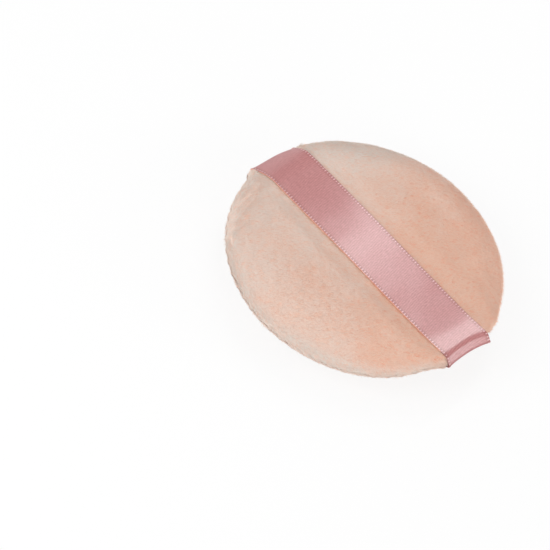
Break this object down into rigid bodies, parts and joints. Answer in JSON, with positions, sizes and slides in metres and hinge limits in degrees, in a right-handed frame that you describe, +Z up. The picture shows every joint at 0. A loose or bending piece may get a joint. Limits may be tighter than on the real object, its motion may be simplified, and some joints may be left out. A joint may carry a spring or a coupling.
{
  "type": "powder puff",
  "caption": "Round plush powder puff with a foam pad inside and a satin ribbon across the back to hold it by.",
  "frame": {"origin": "on the surface that the puff lies on, under its centre", "axes": "+Z up through the puff from its powdering face to its back, +X along the ribbon"},
  "size_m": [0.0828, 0.08, 0.0155],
  "materials": {
    "plush": "short brushed pile, peach",
    "foam": "open-cell foam, cream",
    "satin": "woven satin with a beaded edge, dusty rose",
    "thread": "spun polyester thread, peach"
  },
  "bodies": {
    "puff": {"back_panel": "plush", "face_panel": "plush", "foam_core": "foam", "needle_thread": "thread", "bobbin_thread": "thread", "closing_thread": "thread"},
    "ribbon": {"ribbon": "satin"}
  },
  "joints": [
    {"name": "ribbon_lift", "type": "slide", "parent": "puff", "child": "ribbon", "axis": [0, 0, 1], "range_m": [0, 0.01], "deforming": ["ribbon"]}
  ]
}
